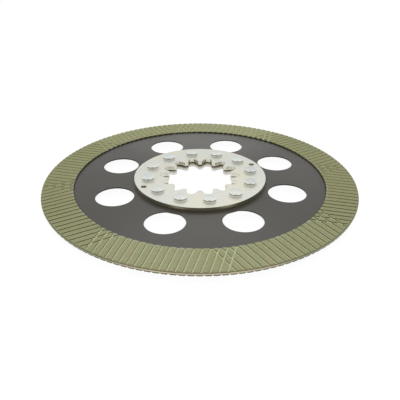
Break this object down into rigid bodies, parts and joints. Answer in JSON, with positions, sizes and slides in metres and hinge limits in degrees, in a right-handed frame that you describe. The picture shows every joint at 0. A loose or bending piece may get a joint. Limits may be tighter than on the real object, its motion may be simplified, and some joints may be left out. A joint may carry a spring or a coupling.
{
  "type": "brake disc",
  "caption": "Flat wet brake disc: a thin windowed steel core with a grooved friction lining on each face and a riveted two-plate hub with an internal spline.",
  "frame": {"origin": "centre of the disc, on the spline's axis, halfway through the core plate", "axes": "+Z along the spline's axis, out of the face with the rivets' bought heads; a tooth of the spline stands on the -Y ray"},
  "size_m": [0.35, 0.35, 0.0171],
  "materials": {
    "core_steel": "dull dark steel, as rolled",
    "friction_paper": "matt olive paper friction lining",
    "zinc_plate": "satin zinc plating with a faint yellow and blue tint",
    "zinc_rivet": "satin zinc plating with a bluish tint"
  },
  "bodies": {
    "root": {"core_plate": "core_steel", "lining_top": "friction_paper", "lining_bottom": "friction_paper", "hub_plate_top": "zinc_plate", "hub_plate_bottom": "zinc_plate", "rivet_01": "zinc_rivet", "rivet_02": "zinc_rivet", "rivet_03": "zinc_rivet", "rivet_04": "zinc_rivet", "rivet_05": "zinc_rivet", "rivet_06": "zinc_rivet", "rivet_07": "zinc_rivet", "rivet_08": "zinc_rivet", "rivet_09": "zinc_rivet", "rivet_10": "zinc_rivet", "rivet_11": "zinc_rivet", "rivet_12": "zinc_rivet"}
  },
  "joints": []
}
